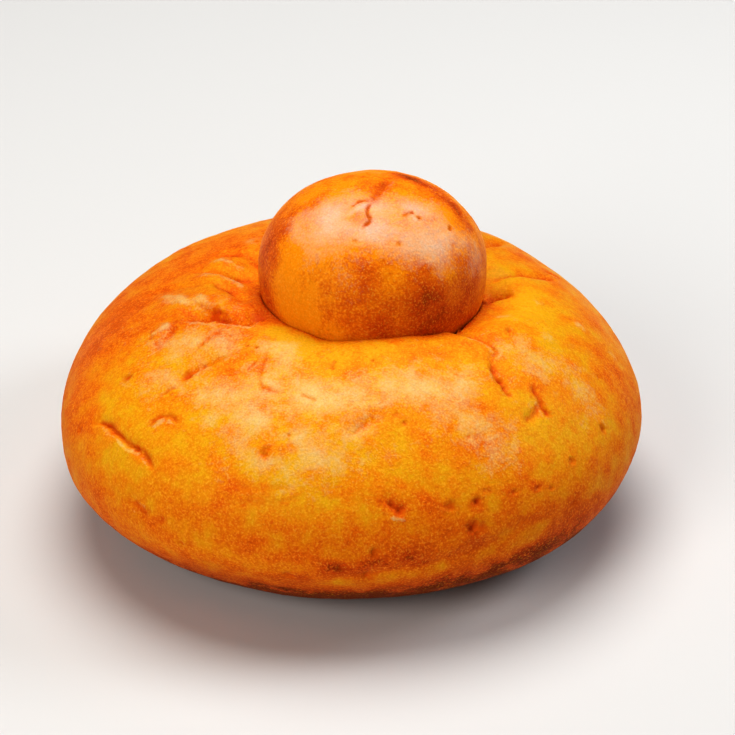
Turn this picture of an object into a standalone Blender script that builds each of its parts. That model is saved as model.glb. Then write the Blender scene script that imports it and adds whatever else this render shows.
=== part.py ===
"""A Sicilian brioche: a wide domed bun with a small ball of dough seated in its crown.

Metres, +Z up. The bun's flat base stands on z = 0 and its front faces -Y. The origin is the
centre of the bun's box, at the base. Azimuths turn from +X (0 degrees) towards +Y (90 degrees),
so the front is at -90 degrees and the bun's left, seen from the front, is at 180 degrees.
"""
import math

import bmesh
import bpy
from mathutils import Vector
from mathutils.geometry import interpolate_bezier

MM = 0.001

# Half-section of the bun: a flat base, a belly that rounds out to the widest ring, and above
# that a flat ellipse, as if the crown were whole.
BUN_RADIUS = 55.0 * MM
BASE_RADIUS = 33.0 * MM
WIDEST_HEIGHT = 19.5 * MM
DOME_HEIGHT = 26.8 * MM
# How far the belly runs on upright from the widest ring and level from the base, as shares of
# its height and width (0.55 each is a round quarter).
BELLY_HANDLES = (0.62, 0.23)

# The dimple pressed into the crown for the ball.
DIMPLE_DEPTH = 11.0 * MM
DIMPLE_FLOOR_RADIUS = 11.0 * MM
DIMPLE_RADIUS = 24.0 * MM
# Where it opens wider than the ball: (azimuth, half angle, added radius).
DIMPLE_POCKETS = ((172.0, 38.0, 7.0 * MM), (-12.0, 34.0, 6.0 * MM), (90.0, 50.0, 4.0 * MM))

# Where the dough beside the ball stands higher or lower:
# (azimuth, half angle, radius from the bun's axis, reach in and out, rise).
LIP_RISES = (
    (-138.0, 10.0, 21.0 * MM, 5.0 * MM, -0.5 * MM), (-115.0, 10.0, 21.0 * MM, 5.0 * MM, -0.65 * MM),
    (-70.0, 12.0, 21.0 * MM, 5.0 * MM, 0.25 * MM),
    (-140.0, 24.0, 18.5 * MM, 3.2 * MM, 0.8 * MM), (-52.0, 16.0, 18.5 * MM, 3.0 * MM, 0.8 * MM),
    (-15.0, 22.0, 19.0 * MM, 3.4 * MM, 3.0 * MM), (176.0, 34.0, 19.0 * MM, 4.0 * MM, 2.3 * MM),
    (90.0, 60.0, 19.0 * MM, 3.6 * MM, 2.2 * MM),
)

# Points along the section, and steps around it. The crown's rings are close together.
BASE_STEPS = 2
BELLY_STEPS = 7
DOME_STEPS = 10
CROWN_RADIUS = 35.0 * MM
CROWN_FLOOR_RADIUS = 14.0 * MM
CROWN_STEPS = 13
FLOOR_STEPS = 4
BUN_STEPS_AROUND = 104

# Unevenness of the hand-shaped dough: (waves around, share of the radius, azimuth of a peak).
OUTLINE_WAVES = ((2, 0.027, 95.0), (3, 0.022, -21.0))
BELLY_WAVES = ((1, 0.012, 78.0), (2, 0.011, 35.0), (3, 0.024, -52.0))
# Rise and fall of the crest: (waves around, height, azimuth of a peak).
CREST_WAVES = ((1, 0.5 * MM, 196.0), (3, 0.3 * MM, 70.0), (5, 0.25 * MM, -20.0), (8, 0.15 * MM, 10.0))

# Folds gathered in towards the ball, measured from the ball's axis:
# (azimuth inside, azimuth outside, radius inside, radius outside, half width, depth).
FOLDS = (
    (-150.0, -161.0, 18.0 * MM, 39.0 * MM, 2.4 * MM, 3.0 * MM),
    (-146.0, -147.0, 28.0 * MM, 41.0 * MM, 1.6 * MM, 0.9 * MM),
    (-170.0, -173.0, 26.0 * MM, 38.0 * MM, 1.6 * MM, 0.8 * MM),
    (-178.0, 179.0, 19.0 * MM, 33.0 * MM, 2.0 * MM, 1.4 * MM),
    (164.0, 167.0, 19.0 * MM, 32.0 * MM, 2.0 * MM, 1.2 * MM),
    (146.0, 152.0, 19.0 * MM, 34.0 * MM, 2.2 * MM, 0.8 * MM),
    (-11.0, -5.0, 17.0 * MM, 29.0 * MM, 2.4 * MM, 2.4 * MM),
    (-44.0, -52.0, 26.0 * MM, 40.0 * MM, 1.6 * MM, 1.3 * MM),
    (4.0, 7.0, 21.0 * MM, 38.0 * MM, 1.8 * MM, 0.7 * MM),
    (15.0, 19.0, 21.0 * MM, 37.0 * MM, 1.8 * MM, 0.7 * MM),
    (38.0, 47.0, 17.0 * MM, 38.0 * MM, 2.4 * MM, 1.4 * MM),
    (72.0, 66.0, 18.0 * MM, 33.0 * MM, 2.0 * MM, 0.9 * MM),
    (101.0, 110.0, 17.0 * MM, 40.0 * MM, 2.6 * MM, 1.7 * MM),
    (127.0, 122.0, 18.0 * MM, 32.0 * MM, 2.0 * MM, 0.8 * MM),
)
LIP_SHARE = 0.35
LIP_SPREAD = 2.2

# The ball: a flat round pressed into the dimple, a little right of the bun's axis. Above its
# middle it is an ellipsoid. Below, its section is fuller: 2 would be an ellipse.
BALL_CENTRE = Vector((4.5, -1.0, 48.2)) * MM
BALL_RADIUS = 20.8 * MM
BALL_HALF_HEIGHT = 15.4 * MM
BALL_FULLNESS = 2.8
BALL_STEPS_AROUND = 42
BALL_STEPS_UP = 21
BALL_WAVES = ((2, 0.006, 20.0), (3, 0.005, -75.0))
# The broad valley over the ball's top: (azimuth, half width, depth, height where it fades).
BALL_VALLEY = (-88.0, 2.6 * MM, 0.5 * MM, 56.0 * MM)

SEAT_GAP = 0.3 * MM
SEAT_ROOM = 0.15 * MM
# How far the dough beside the ball is drawn in to hug it, and how near to the ball that starts.
HUG = 1.3 * MM
HUG_REACH = 2.0 * MM
MERGE_DISTANCE = 0.01 * MM

BUN_COLOUR = (0.78, 0.30, 0.035, 1.0)
BALL_COLOUR = (0.66, 0.21, 0.025, 1.0)
CRUST_ROUGHNESS = 0.5


def bell(offset, half_width):
    """1 at no offset, falling smoothly to nothing a few half widths away."""
    return math.exp(-((offset / half_width) ** 2))


def ease(share):
    """A smooth step from 0 to 1 as the share goes from 0 to 1."""
    share = min(max(share, 0.0), 1.0)
    return share * share * (3.0 - 2.0 * share)


def angle_between(azimuth, other):
    """Signed turn in degrees from the other azimuth, between -180 and 180."""
    return (azimuth - other + 180.0) % 360.0 - 180.0


def waves(azimuth, table):
    """Sum of waves around the bun: each row gives how many, how much and where one peaks."""
    return sum(size * math.cos(math.radians(count * (azimuth - peak))) for count, size, peak in table)


def rounded_quarter(steps, handles):
    """Shares across and up along a curve that leaves its side upright and ends level."""
    upright, level = handles
    side, side_handle = Vector((1.0, 0.0)), Vector((1.0, upright))
    end_handle, end = Vector((level, 1.0)), Vector((0.0, 1.0))
    return interpolate_bezier(side, side_handle, end_handle, end, steps + 1)


def bun_section():
    """Radius and height along the half-section, from the base's centre to the crown's."""
    points = [(BASE_RADIUS * step / BASE_STEPS, 0.0) for step in range(BASE_STEPS)]
    for across, up in reversed(rounded_quarter(BELLY_STEPS, BELLY_HANDLES)):
        radius = BASE_RADIUS + (BUN_RADIUS - BASE_RADIUS) * across
        points.append((radius, WIDEST_HEIGHT * (1.0 - up)))
    crown_angle = math.acos(CROWN_RADIUS / BUN_RADIUS)
    dome = [BUN_RADIUS * math.cos(crown_angle * step / DOME_STEPS) for step in range(1, DOME_STEPS)]
    crown_step = (CROWN_RADIUS - CROWN_FLOOR_RADIUS) / CROWN_STEPS
    crown = [CROWN_RADIUS - crown_step * step for step in range(CROWN_STEPS)]
    floor = [CROWN_FLOOR_RADIUS * (1.0 - step / FLOOR_STEPS) for step in range(FLOOR_STEPS + 1)]
    for radius in dome + crown + floor:
        rise = math.sqrt(1.0 - (radius / BUN_RADIUS) ** 2)
        points.append((radius, WIDEST_HEIGHT + DOME_HEIGHT * rise))
    return points


def spin_section(points, steps):
    """Turn a half-section about the Z axis into a closed mesh."""
    mesh = bmesh.new()
    chain = [mesh.verts.new((radius, 0.0, height)) for radius, height in points]
    edges = [mesh.edges.new(pair) for pair in zip(chain, chain[1:])]
    bmesh.ops.spin(
        mesh, geom=chain + edges, cent=(0, 0, 0), axis=(0, 0, 1),
        angle=math.tau, steps=steps, use_merge=True,
    )
    bmesh.ops.remove_doubles(mesh, verts=mesh.verts, dist=MERGE_DISTANCE)
    bmesh.ops.recalc_face_normals(mesh, faces=mesh.faces)
    return mesh


def dimple_drop(radius, azimuth):
    """How far the dimple sinks the crown at a place measured from the ball's axis."""
    added = sum(
        size * bell(angle_between(azimuth, middle), half_angle)
        for middle, half_angle, size in DIMPLE_POCKETS
    )
    slope_width = DIMPLE_RADIUS + added - DIMPLE_FLOOR_RADIUS
    return DIMPLE_DEPTH * (1.0 - ease((radius - DIMPLE_FLOOR_RADIUS) / slope_width))


def shape_dough(mesh):
    """Give the turned bun its uneven outline and its wavy crown with the off-centre dimple."""
    for vert in mesh.verts:
        radius = math.hypot(vert.co.x, vert.co.y)
        height = vert.co.z
        azimuth = math.degrees(math.atan2(vert.co.y, vert.co.x))
        outline = waves(azimuth, OUTLINE_WAVES)
        crown = 0.0
        if height > WIDEST_HEIGHT:
            crown = ease((1.0 - radius / BUN_RADIUS) / (1.0 - DIMPLE_RADIUS / BUN_RADIUS))
            height += crown * waves(azimuth, CREST_WAVES) - dimple_drop(radius, azimuth)
            height += sum(
                size * bell(angle_between(azimuth, middle), half_angle) * bell(radius - ring, reach)
                for middle, half_angle, ring, reach, size in LIP_RISES
            )
        else:
            belly = math.sin(math.pi * (1.0 - height / WIDEST_HEIGHT)) ** 2
            radius *= 1.0 + belly * waves(azimuth, BELLY_WAVES)
        radius *= 1.0 + (1.0 - crown) * outline
        turn = math.radians(azimuth)
        vert.co.x = radius * math.cos(turn) + BALL_CENTRE.x * crown
        vert.co.y = radius * math.sin(turn) + BALL_CENTRE.y * crown
        vert.co.z = height


def fold_depth(radius, azimuth, fold):
    """How far one fold pushes in at a place measured from the ball's axis."""
    azimuth_in, azimuth_out, radius_in, radius_out, half_width, depth = fold
    along = (radius - radius_in) / (radius_out - radius_in)
    if not 0.0 < along < 1.0:
        return 0.0
    line = azimuth_in + along * angle_between(azimuth_out, azimuth_in)
    across = radius * math.radians(angle_between(azimuth, line))
    valley = bell(across, half_width) - LIP_SHARE * bell(across, LIP_SPREAD * half_width)
    return depth * math.sin(math.pi * along) * valley


def press_folds(mesh):
    """Push the gathered folds into the crown, along the surface's normals."""
    mesh.normal_update()
    moves = []
    for vert in mesh.verts:
        if vert.co.z < WIDEST_HEIGHT:
            continue
        spoke = vert.co.xy - BALL_CENTRE.xy
        azimuth = math.degrees(math.atan2(spoke.y, spoke.x))
        depth = sum(fold_depth(spoke.length, azimuth, fold) for fold in FOLDS)
        moves.append((vert, -depth * vert.normal))
    for vert, move in moves:
        vert.co += move


def ball_depth(spoke):
    """How far out a place is from the ball's middle, as a share: 1 on the ball's surface."""
    across = math.hypot(spoke.x, spoke.y) / BALL_RADIUS
    up = abs(spoke.z) / BALL_HALF_HEIGHT
    power = BALL_FULLNESS if spoke.z < 0.0 else 2.0
    return (across ** power + up ** power) ** (1.0 / power)


def press_seat(mesh):
    """Draw the dough in round the ball, and keep it all at least the gap away from the ball."""
    for vert in mesh.verts:
        spoke = vert.co - BALL_CENTRE
        clearance = spoke.length * (1.0 - 1.0 / ball_depth(spoke))
        wanted = max(clearance - HUG * bell(clearance, HUG_REACH), SEAT_GAP + SEAT_ROOM)
        vert.co += spoke.normalized() * (wanted - clearance)


def bun_mesh():
    mesh = spin_section(bun_section(), BUN_STEPS_AROUND)
    shape_dough(mesh)
    press_folds(mesh)
    press_seat(mesh)
    return mesh


def ball_mesh():
    """The ball of dough, slightly uneven, with a broad valley over its top."""
    mesh = bmesh.new()
    bmesh.ops.create_uvsphere(
        mesh, u_segments=BALL_STEPS_AROUND, v_segments=BALL_STEPS_UP, radius=1.0,
    )
    valley_azimuth, half_width, valley_depth, fade_height = BALL_VALLEY
    valley_side = Vector((-math.sin(math.radians(valley_azimuth)), math.cos(math.radians(valley_azimuth))))
    valley_line = Vector((math.cos(math.radians(valley_azimuth)), math.sin(math.radians(valley_azimuth))))
    for vert in mesh.verts:
        azimuth = math.degrees(math.atan2(vert.co.y, vert.co.x))
        # Only ever thinner than the seat's form, so that the gap below it stays open.
        uneven = 1.0 + waves(azimuth, BALL_WAVES) * (1.0 - abs(vert.co.z))
        uneven -= sum(size for _, size, _ in BALL_WAVES)
        place = Vector((vert.co.x * BALL_RADIUS * uneven, vert.co.y * BALL_RADIUS * uneven,
                        vert.co.z * BALL_HALF_HEIGHT))
        place /= ball_depth(Vector((vert.co.x * BALL_RADIUS, vert.co.y * BALL_RADIUS,
                                    vert.co.z * BALL_HALF_HEIGHT)))
        across = place.xy.dot(valley_side)
        along = place.xy.dot(valley_line)
        top = ease((place.z + BALL_CENTRE.z - fade_height) / (BALL_HALF_HEIGHT * 0.5))
        reach = ease(0.5 + along / BALL_RADIUS)
        place.z -= valley_depth * bell(across, half_width) * top * reach
        vert.co = place + BALL_CENTRE
    return mesh


def crust(name, colour):
    """A baked crust: a plain soft-gloss finish in its own colour."""
    material = bpy.data.materials.new(name)
    material.use_nodes = True
    shader = material.node_tree.nodes["Principled BSDF"]
    shader.inputs["Base Color"].default_value = colour
    shader.inputs["Roughness"].default_value = CRUST_ROUGHNESS
    shader.inputs["Metallic"].default_value = 0.0
    return material


def add_piece(name, mesh, material):
    """Put a mesh in the scene as one named, smooth-shaded object."""
    data = bpy.data.meshes.new(name)
    mesh.to_mesh(data)
    mesh.free()
    data.materials.append(material)
    data.shade_smooth()
    piece = bpy.data.objects.new(name, data)
    bpy.context.scene.collection.objects.link(piece)
    return piece


def stand_on_origin(pieces):
    """Slide the pieces together so that the box around them is centred over the origin."""
    places = [vert.co for piece in pieces for vert in piece.data.vertices]
    middle_x = 0.5 * (min(place.x for place in places) + max(place.x for place in places))
    middle_y = 0.5 * (min(place.y for place in places) + max(place.y for place in places))
    for piece in pieces:
        for vert in piece.data.vertices:
            vert.co.x -= middle_x
            vert.co.y -= middle_y


def main():
    for leftover in list(bpy.data.objects):
        bpy.data.objects.remove(leftover)
    bun = add_piece("bun", bun_mesh(), crust("bun_crust", BUN_COLOUR))
    topknot = add_piece("topknot", ball_mesh(), crust("topknot_crust", BALL_COLOUR))
    stand_on_origin((bun, topknot))


main()
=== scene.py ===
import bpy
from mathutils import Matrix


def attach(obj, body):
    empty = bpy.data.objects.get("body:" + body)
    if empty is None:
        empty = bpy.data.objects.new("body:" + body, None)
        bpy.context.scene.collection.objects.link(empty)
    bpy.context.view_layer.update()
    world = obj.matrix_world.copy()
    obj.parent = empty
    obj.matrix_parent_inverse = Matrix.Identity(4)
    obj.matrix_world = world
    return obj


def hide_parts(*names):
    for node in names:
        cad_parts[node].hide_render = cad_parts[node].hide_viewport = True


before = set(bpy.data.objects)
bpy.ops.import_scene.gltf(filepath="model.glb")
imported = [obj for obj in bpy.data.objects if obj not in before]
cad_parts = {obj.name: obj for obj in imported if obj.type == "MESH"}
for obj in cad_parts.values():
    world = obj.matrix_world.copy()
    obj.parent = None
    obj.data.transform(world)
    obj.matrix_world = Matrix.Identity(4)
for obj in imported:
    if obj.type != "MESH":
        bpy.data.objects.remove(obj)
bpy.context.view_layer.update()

import math
import random

import bmesh
import bpy
import numpy as np
from mathutils import Vector, noise
from mathutils.bvhtree import BVHTree
from mathutils.geometry import interpolate_bezier

MM = 0.001

# --- The photograph's view ---
FRAME_PIXELS = 735
SENSOR_WIDTH = 36.0
LENS = 118.3
CAMERA_ELEVATION = math.radians(30.0)
CAMERA_DISTANCE = 450.0 * MM
CAMERA_AIM = Vector((3.0, -0.9, 25.3)) * MM
CAMERA_CLIP = (0.01, 20.0)
# How a pixel route's corners are rounded: the share cut off either way, and how many times.
CORNER_CUT = 0.25
CORNER_CUTS = 2

# --- The bun's form, the same as the solid's ---
BUN_RADIUS = 55.0 * MM
BASE_RADIUS = 33.0 * MM
WIDEST_HEIGHT = 19.5 * MM
DOME_HEIGHT = 26.8 * MM
BELLY_HANDLES = (0.62, 0.23)
DIMPLE_DEPTH = 11.0 * MM
DIMPLE_FLOOR_RADIUS = 11.0 * MM
DIMPLE_RADIUS = 24.0 * MM
# (azimuth, half angle, added radius)
DIMPLE_POCKETS = ((172.0, 38.0, 7.0 * MM), (-12.0, 34.0, 6.0 * MM), (90.0, 50.0, 4.0 * MM))
# (waves around, size, azimuth of a peak)
OUTLINE_WAVES = ((2, 0.027, 95.0), (3, 0.022, -21.0))
BELLY_WAVES = ((1, 0.012, 78.0), (2, 0.011, 35.0), (3, 0.024, -52.0))
CREST_WAVES = (
    (1, 0.5 * MM, 196.0), (3, 0.3 * MM, 70.0), (5, 0.25 * MM, -20.0), (8, 0.15 * MM, 10.0),
)
# Where the dough beside the ball stands higher or lower:
# (azimuth, half angle, radius from the ball's axis, reach in and out, rise), in degrees and mm.
LIP_RISES = (
    (-138, 10, 21, 5, -0.5), (-115, 10, 21, 5, -0.65),
    (-70, 12, 21, 5, 0.25), (-140, 24, 18.5, 3.2, 0.8),
    (-52, 16, 18.5, 3, 0.8), (-15, 22, 19, 3.4, 3),
    (176, 34, 19, 4, 2.3), (90, 60, 19, 3.6, 2.2),
)

BASE_STEPS = 10
BELLY_STEPS = 46
DOME_STEPS = 42
CROWN_RADIUS = 35.0 * MM
CROWN_FLOOR_RADIUS = 14.0 * MM
CROWN_STEPS = 40
FLOOR_STEPS = 6
BUN_STEPS_AROUND = 340
MERGE_DISTANCE = 0.01 * MM
# Edges near the cracks and pits are split twice: (room beside the mark, its half widths).
REFINED_REACH = ((1.0, 2.3), (0.3, 1.45))

# --- The ball ---
BALL_CENTRE = Vector((4.5, -1.0, 48.2)) * MM
BALL_RADIUS = 20.8 * MM
BALL_HALF_HEIGHT = 15.4 * MM
BALL_FULLNESS = 2.8
BALL_SUBDIVISIONS = 7
BALL_WAVES = ((2, 0.006, 20.0), (3, 0.005, -75.0))
# The waves show above the seat: (start, run), as shares of the half height.
BALL_ABOVE_SEAT = (-0.35, 0.35)
LEAST_DEPTH = 0.001
SEAT_GAP = 0.12 * MM
# How far the dough round the ball is drawn in, and from how far away.
HUG = 1.3 * MM
HUG_REACH = 2.0 * MM

# --- Marks in the crust, by their place in the photograph's view (pixels), sizes in mm ---
# Valleys: (route, half width on the far side, half width on the near side, depth).
BUN_VALLEYS = (
    # the big gathered fold to the left of the ball, and the small ones above it
    (((266, 316), (246, 320), (222, 317), (206, 315), (190, 314), (176, 318)), 4, 0.8, 2.2),
    (((209, 282), (222, 286), (236, 293), (247, 304)), 1, 1, 0.75),
    (((188, 271), (216, 270), (234, 276), (248, 286)), 0.9, 0.9, 0.65),
    (((176, 308), (190, 309), (202, 312), (213, 316)), 0.8, 0.8, 0.4),
    (((178, 324), (168, 338), (150, 356)), 1.2, 1.2, 0.4),
    (((142, 298), (160, 291), (180, 287), (204, 285)), 1.2, 1.2, 0.4),
    # where the front lip ends at the right, and the fold beside the ball
    (((450, 330), (466, 334), (480, 339), (492, 346)), 2.2, 0.7, 1),
    (((474, 306), (484, 301), (496, 297), (516, 294)), 2.2, 0.7, 1.3),
    (((507, 322), (526, 325), (548, 330)), 1.2, 1.2, 0.25),
    (((503, 306), (524, 309), (546, 315)), 1.2, 1.2, 0.3),
    (((491, 346), (493, 361), (497, 377), (507, 391), (518, 401)), 1.6, 0.8, 0.45),
    (((543, 400), (536, 412), (524, 424)), 1.2, 0.9, 0.3),
    # the front and the lower left
    (((386, 414), (371, 421), (358, 428), (347, 441)), 1.5, 1.2, 0.4),
    (((230, 352), (212, 362), (192, 372), (172, 387)), 1.2, 0.7, 0.35),
    (((88, 420), (109, 426), (128, 444), (150, 463), (158, 480)), 1.4, 0.7, 0.5),
    (((124, 498), (138, 508), (150, 518)), 1.4, 1, 0.35),
    (((380, 496), (392, 504), (408, 513)), 1.2, 0.8, 0.3),
    (((320, 579), (380, 573), (450, 560), (505, 538), (545, 518)), 1.3, 1.3, 0.35),
)
# Cracks: (route, half width, depth, lip on the near side, darkening). The darkening is painted
# shade inside the crack; the lip carries a painted highlight.
BUN_CRACKS = (
    (((264, 317), (254, 323), (244, 324), (229, 322), (211, 321), (193, 320), (177, 321)),
     0.36, 0.4, 0.1, 0.5),
    (((177, 321), (172, 330), (163, 340), (148, 349)), 0.4, 0.15, 0, 0.3),
    (((197, 302), (206, 305), (216, 309)), 0.28, 0.22, 0, 0.45),
    (((212, 282), (223, 287), (236, 294)), 0.45, 0.2, 0, 0.6),
    (((225, 330), (214, 335), (205, 342), (196, 349)), 0.34, 0.3, 0.08, 0.4),
    (((230, 352), (220, 359), (211, 364), (197, 369), (184, 376)), 0.4, 0.35, 0.05, 0.45),
    (((176, 386), (166, 391), (156, 398)), 0.34, 0.25, 0.05, 0.4),
    (((238, 364), (220, 380), (205, 395), (197, 405)), 0.45, 0.18, 0, 0),
    (((259, 359), (254, 366), (246, 372)), 0.25, 0.2, 0, 0.5),
    (((271, 346), (264, 362), (258, 384), (268, 390), (289, 392)), 0.26, 0.15, 0, 0.42),
    (((336, 359), (333, 365), (332, 371)), 0.28, 0.25, 0, 0.6),
    (((299, 392), (308, 397), (318, 402)), 0.28, 0.15, 0.05, 0.4),
    (((400, 412), (393, 418)), 0.3, 0.15, 0, 0.35),
    (((372, 420), (356, 429), (347, 441)), 0.4, 0.1, 0, 0.15),
    (((226, 492), (246, 487), (268, 488), (300, 486)), 0.5, 0.08, 0, 0.2),
    (((232, 506), (255, 500), (280, 503), (306, 498)), 0.5, 0.08, 0, 0.2),
    (((478, 304), (487, 300), (497, 296), (508, 294), (515, 297)), 0.5, 0.4, 0, 1),
    (((462, 334), (478, 338), (491, 345), (497, 352), (493, 360)), 0.3, 0.3, 0.1, 0.5),
    (((493, 360), (496, 373), (501, 384), (508, 392), (517, 399)), 0.38, 0.5, 0.05, 1),
    (((531, 381), (536, 394), (541, 404), (546, 412), (550, 416), (556, 414)), 0.34, 0.45, 0.05, 1),
    (((541, 403), (536, 411), (524, 424)), 0.4, 0.15, 0, 0.6),
    (((384, 500), (391, 505), (398, 510), (404, 513)), 0.42, 0.4, 0, 0.9),
    (((92, 421), (109, 426), (118, 434), (128, 444), (142, 451), (150, 463), (157, 478)),
     0.36, 0.55, 0.11, 0.85),
    (((147, 429), (155, 421), (162, 417), (172, 417), (179, 423)), 0.36, 0.35, 0.1, 0.8),
    (((130, 502), (138, 508), (148, 516)), 0.4, 0.3, 0.1, 0.4),
    (((513, 521), (530, 518), (547, 519)), 0.4, 0.15, 0, 0.4),
    (((486, 489), (494, 492)), 0.3, 0.2, 0, 0.5),
)
# Pits: (x, y, radius, depth, rim, darkening). The darkening is painted shade inside the pit; a
# raised rim carries a painted highlight on its near side.
BUN_PITS = (
    (212, 310, 1.1, 0.5, 0, 1), (218, 312, 1, 0.5, 0, 1), (188, 374, 0.8, 0.4, 0, 0.8),
    (222, 318, 0.6, 0.4, 0, 0.6), (204, 366, 0.5, 0.3, 0, 0.5), (175, 321, 0.6, 0.3, 0, 0.7),
    (262, 316, 1.4, 0.6, 0, 0.9), (151, 338, 0.4, 0.3, 0, 0.5), (127, 378, 0.7, 0.5, 0.05, 0.75),
    (201, 268, 0.5, 0.2, 0, 0.4), (257, 241, 0.4, 0.3, 0, 0.5), (254, 264, 0.5, 0.2, 0, 0.35),
    (248, 346, 0.3, 0.2, 0, 0.6), (256, 347, 0.4, 0.3, 0, 0.65), (373, 361, 0.3, 0.2, 0, 0.6),
    (403, 422, 0.4, 0.3, 0, 0.6), (469, 436, 0.3, 0.2, 0, 0.5), (289, 435, 0.4, 0.2, 0.05, 0.5),
    (265, 454, 0.8, 0.6, 0.12, 0.7), (508, 330, 0.6, 0.4, 0.05, 0.65),
    (603, 430, 0.6, 0.4, 0.05, 0.6), (598, 377, 0.4, 0.2, 0, 0.5), (572, 461, 0.5, 0.3, 0.05, 0.5),
    (538, 487, 0.5, 0.3, 0.05, 0.5), (514, 492, 0.4, 0.3, 0.05, 0.5),
    (552, 488, 0.4, 0.3, 0.05, 0.5), (484, 490, 0.4, 0.2, 0, 0.5), (477, 503, 0.85, 0.8, 0.05, 1),
    (475, 529, 1.05, 1.2, 0.1, 1), (450, 505, 0.8, 0.3, 0.05, 0.7), (391, 505, 0.6, 0.4, 0, 0.9),
    (401, 512, 0.7, 0.5, 0, 1), (481, 528, 0.8, 0.5, 0, 0.9), (574, 503, 0.5, 0.3, 0.05, 0.5),
    (374, 553, 0.7, 0.5, 0.05, 0.65), (367, 577, 0.9, 0.5, 0.05, 0.7),
    (289, 576, 0.8, 0.4, 0.05, 0.6), (341, 566, 0.7, 0.4, 0.05, 0.6),
    (80, 430, 0.5, 0.3, 0.05, 0.5), (162, 520, 0.6, 0.3, 0.05, 0.5),
    (181, 543, 0.5, 0.3, 0.05, 0.5), (190, 545, 0.5, 0.3, 0.05, 0.5), (150, 512, 0.4, 0.2, 0, 0.4),
)
# Ridges and blisters: (route, half width, height, paleness). The paleness is a painted highlight on
# top.
BUN_RIDGES = (
    (((204, 264), (220, 261), (236, 265), (250, 275)), 1.2, 0.45, 0.6),
    (((190, 278), (208, 276), (222, 277), (236, 284), (246, 293)), 1.2, 0.45, 0.55),
    (((156, 299), (174, 297), (186, 302), (196, 307)), 1.1, 0.35, 0.6),
    (((190, 296), (208, 300), (224, 307)), 1.1, 0.35, 0.55),
    (((150, 337), (161, 330), (172, 322)), 1.1, 0.45, 0.7),
    (((199, 357), (213, 350), (226, 341)), 1.6, 0.22, 0.3),
    (((251, 237), (256, 248)), 1.2, 0.1, 0.4), (((140, 312), (149, 307)), 0.6, 0.1, 0.35),
    (((488, 316), (505, 317), (526, 322)), 0.9, 0.15, 0.3),
    (((531, 302), (546, 307)), 0.9, 0.2, 0.35), (((536, 333), (556, 341)), 1, 0.15, 0.35),
    (((572, 321), (580, 328), (587, 334)), 0.9, 0.3, 0.6), (((478, 305),), 0.6, 0.3, 0.8),
    (((603, 422),), 0.9, 0.2, 0.5), (((612, 357),), 0.9, 0.15, 0.4),
    (((588, 458),), 0.8, 0.15, 0.4), (((473, 429),), 0.9, 0.2, 0.6), (((269, 443),), 0.7, 0.1, 0.4),
    (((150, 520),), 0.4, 0.1, 0.5), (((388, 516), (398, 520), (409, 520)), 0.5, 0.18, 0.85),
    (((480, 537), (488, 533)), 0.5, 0.1, 0.4),
)
# Stains: (route, half width, browning). Below 0 it is yellower. The first two are painted shade,
# beside the ball on its left and in the pocket at its right; the long rows along the bottom edge
# are partly painted shade.
BUN_STAINS = (
    (((250, 300), (258, 314), (240, 318)), 3, 0.25), (((465, 325), (480, 314)), 2.4, 0.18),
    (((120, 330), (180, 270), (240, 235)), 8, 0.2),
    (((75, 420), (85, 360), (120, 300)), 5, 0.18),
    (((440, 578), (510, 552), (575, 510)), 4, 0.08),
    (((520, 255), (580, 320), (625, 400)), 5, 0.1),
    (((140, 410), (190, 440), (150, 470)), 8, -0.08),
    (((288, 338), (310, 346), (345, 354), (385, 354)), 3.2, -0.2),
    (((110, 462), (122, 475)), 4, -0.12), (((425, 515), (440, 528)), 4, 0.08),
    (((330, 430), (380, 450), (430, 430)), 7, -0.1),
    (((250, 452), (290, 488), (340, 495)), 5, -0.14), (((285, 330), (300, 336)), 3, -0.16),
    (((500, 270), (530, 300), (540, 330)), 7, -0.24), (((265, 448), (263, 458)), 1.4, 0.12),
    (((222, 470), (232, 480)), 2.2, 0.16), (((200, 506), (215, 506)), 2.2, 0.16),
    (((345, 490), (356, 491)), 1.8, 0.18),
    (((330, 550), (400, 548), (470, 525), (530, 505)), 6, 0.04),
    (((300, 520), (360, 520)), 7, 0.03),
    (((340, 582), (400, 577), (451, 567), (496, 551), (540, 530)), 2, -0.24),
    (((270, 588), (320, 595), (360, 597), (400, 594)), 2.8, 0.19),
    (((480, 577), (520, 560), (560, 536), (600, 495)), 2, 0.06),
    (((562, 512), (585, 492), (602, 470)), 4, 0.2),
    (((300, 577), (380, 569), (450, 555), (490, 540)), 1.7, 0.2),
    (((503, 492), (530, 485), (550, 487)), 1.2, 0.22), (((392, 553), (428, 549)), 1.3, 0.22),
    (((330, 566), (375, 566)), 1.5, 0.16), (((515, 520), (548, 516)), 1.2, 0.1),
    (((384, 500), (396, 508)), 1.6, 0.16), (((545, 435), (590, 470)), 7, -0.22),
    (((500, 500), (545, 500)), 5, -0.08), (((470, 440), (505, 435), (525, 450)), 5, 0.14),
)
# Pale patches on the crust, partly a dull bloom and partly painted sheen on the crest: (route, half
# width, paleness).
BUN_BLOOM_AND_SHEEN = (
    (((165, 342), (200, 338), (225, 345)), 3.6, 0.55),
    (((185, 362), (170, 350), (195, 352)), 3, 0.45),
    (((215, 396), (232, 415), (262, 430), (240, 400)), 4.2, 0.68),
    (((242, 448), (275, 478), (330, 472), (350, 440), (362, 415)), 4.5, 0.46),
    (((150, 386), (175, 372), (205, 388)), 3.5, 0.42),
    (((262, 345), (285, 350), (280, 370)), 3, 0.45),
    (((165, 300), (195, 300), (215, 304)), 2, 0.4),
    (((250, 385), (330, 400), (400, 388), (460, 388)), 4.5, 0.68),
    (((285, 430), (320, 455), (290, 468)), 4.5, 0.5),
    (((440, 400), (480, 420), (500, 450)), 5, 0.45),
    (((520, 355), (560, 370), (590, 400)), 4.5, 0.4),
    (((585, 430), (600, 460)), 4, 0.2),
    (((205, 300), (230, 305)), 3, 0.3),
)
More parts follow.
